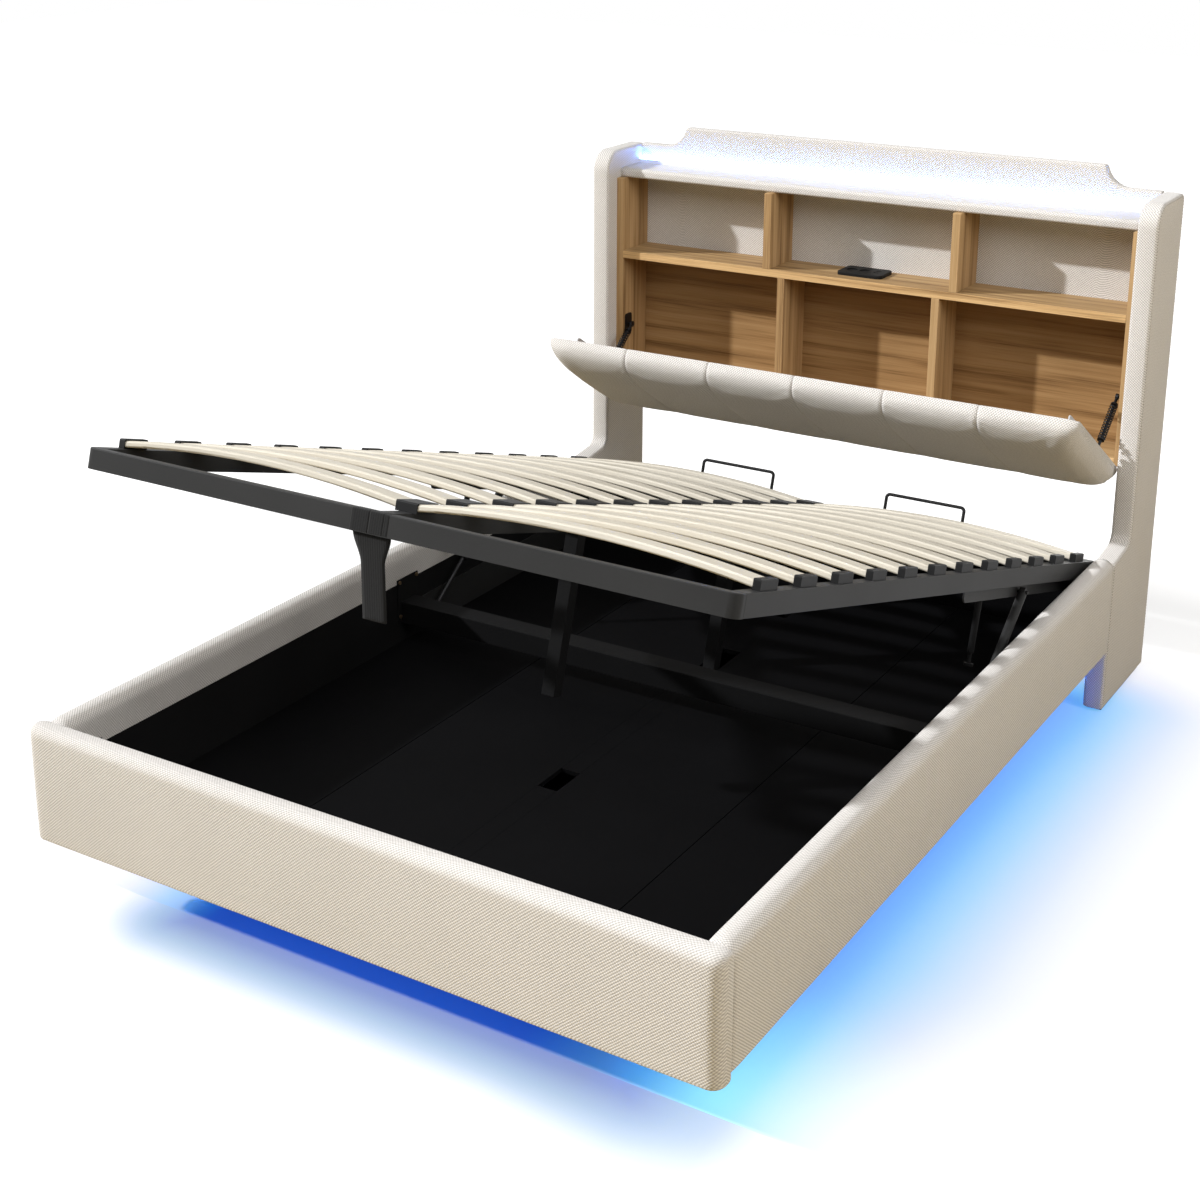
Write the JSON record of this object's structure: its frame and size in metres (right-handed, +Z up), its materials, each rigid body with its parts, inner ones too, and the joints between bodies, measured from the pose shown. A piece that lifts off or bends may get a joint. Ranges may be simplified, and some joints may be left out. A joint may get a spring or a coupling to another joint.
{
  "type": "storage bed",
  "caption": "Upholstered double bed with a lift-up slatted frame over a storage box and a headboard cabinet closed by a padded fold-down flap.",
  "frame": {"origin": "centre of the floor area under the bed", "axes": "+Z up, +Y to the head end, +X to the right of someone facing the head end"},
  "size_m": [1.5, 2.278, 1.251],
  "materials": {
    "upholstery": "matte",
    "oak": "satin",
    "flap_backing": "matte",
    "black_board": "matte",
    "charcoal_steel": "satin",
    "slat_wood": "satin",
    "black_plastic": "matte",
    "bright_steel": "satin",
    "black_steel": "satin",
    "bronze": "satin",
    "webbing": "matte",
    "cool_light": "matte",
    "blue_light": "matte"
  },
  "bodies": {
    "bed_base": {"back_panel": "upholstery", "bracket_screws": "bronze", "cabinet_bottom_board": "oak", "cabinet_side_left": "oak", "cabinet_side_right": "oak", "crest_light": "cool_light", "cross_beam": "charcoal_steel", "flap_hinge_fixed": "bright_steel", "floor_boards": "black_board", "floor_center_strips": "black_board", "footboard": "upholstery", "head_panel": "black_board", "hinge_plate_left": "charcoal_steel", "hinge_plate_right": "charcoal_steel", "lower_back": "oak", "lower_divider_left": "oak", "lower_divider_right": "oak", "mid_shelf": "oak", "plinth": "black_board", "power_outlet": "black_plastic", "rail_brackets": "charcoal_steel", "side_rail_left": "upholstery", "side_rail_right": "upholstery", "stay_brackets": "black_steel", "storage_liner": "black_board", "top_shelf": "upholstery", "under_light": "blue_light", "upper_divider_left": "oak", "upper_divider_right": "oak", "wing_glides": "black_plastic", "wing_left": "upholstery", "wing_right": "upholstery"},
    "lift_frame": {"frame_foot_tube": "charcoal_steel", "frame_side_left": "charcoal_steel", "frame_side_right": "charcoal_steel", "frame_head_tube": "charcoal_steel", "frame_center_beam": "charcoal_steel", "slats_left": "slat_wood", "slats_right": "slat_wood", "slat_caps_side": "black_plastic", "slat_caps_center": "black_plastic", "center_legs": "charcoal_steel", "side_legs": "charcoal_steel", "mattress_stops": "charcoal_steel", "pull_strap": "webbing", "hinge_bar_left": "charcoal_steel", "hinge_bar_right": "charcoal_steel"},
    "flap": {"flap_board": "flap_backing", "flap_pad": "upholstery", "flap_hinge_moving": "bright_steel", "stay_tracks": "black_steel"},
    "stay_left": {"stay_arm_left": "black_steel", "stay_spring_left": "black_steel"},
    "strut_cylinder_left": {"strut_cylinder_left": "charcoal_steel"},
    "strut_rod_left": {"strut_rod_left": "bright_steel"},
    "stay_right": {"stay_arm_right": "black_steel", "stay_spring_right": "black_steel"},
    "strut_cylinder_right": {"strut_cylinder_right": "charcoal_steel"},
    "strut_rod_right": {"strut_rod_right": "bright_steel"}
  },
  "joints": [
    {"name": "lift", "type": "hinge", "parent": "bed_base", "child": "lift_frame", "pos_m": [0, 0.806, 0.33], "axis": [-1, 0, 0], "range_deg": [-16.83, 14]},
    {"name": "flap_turn", "type": "hinge", "parent": "bed_base", "child": "flap", "pos_m": [0, 0.983, 0.556], "axis": [-1, 0, 0], "range_deg": [0, 58.4]},
    {"name": "stay_swing_left", "type": "hinge", "parent": "bed_base", "child": "stay_left", "pos_m": [-0.664, 1.0114, 0.7228], "axis": [-1, 0, 0], "range_deg": [0, 121.3]},
    {"name": "strut_swivel_left", "type": "hinge", "parent": "lift_frame", "child": "strut_cylinder_left", "pos_m": [-0.6715, 0.39573, 0.44157], "axis": [1, 0, 0], "range_deg": [-29.55, 24.6]},
    {"name": "strut_stroke_left", "type": "slide", "parent": "strut_cylinder_left", "child": "strut_rod_left", "axis": [0, -0.8091, -0.5876], "range_m": [-0.093, 0.0775]},
    {"name": "stay_swing_right", "type": "hinge", "parent": "bed_base", "child": "stay_right", "pos_m": [0.664, 1.0114, 0.7228], "axis": [-1, 0, 0], "range_deg": [0, 121.3]},
    {"name": "strut_swivel_right", "type": "hinge", "parent": "lift_frame", "child": "strut_cylinder_right", "pos_m": [0.6715, 0.39573, 0.44157], "axis": [1, 0, 0], "range_deg": [-29.55, 24.6]},
    {"name": "strut_stroke_right", "type": "slide", "parent": "strut_cylinder_right", "child": "strut_rod_right", "axis": [0, -0.8091, -0.5876], "range_m": [-0.093, 0.0775]}
  ],
  "couplings": [
    {"joint": "stay_swing_left", "follows": "flap_turn", "ratio": 2.0755},
    {"joint": "strut_swivel_left", "follows": "lift", "ratio": 1.7527},
    {"joint": "strut_stroke_left", "follows": "lift", "m_per_rad": 0.31597},
    {"joint": "stay_swing_right", "follows": "flap_turn", "ratio": 2.0755},
    {"joint": "strut_swivel_right", "follows": "lift", "ratio": 1.7527},
    {"joint": "strut_stroke_right", "follows": "lift", "m_per_rad": 0.31597}
  ]
}
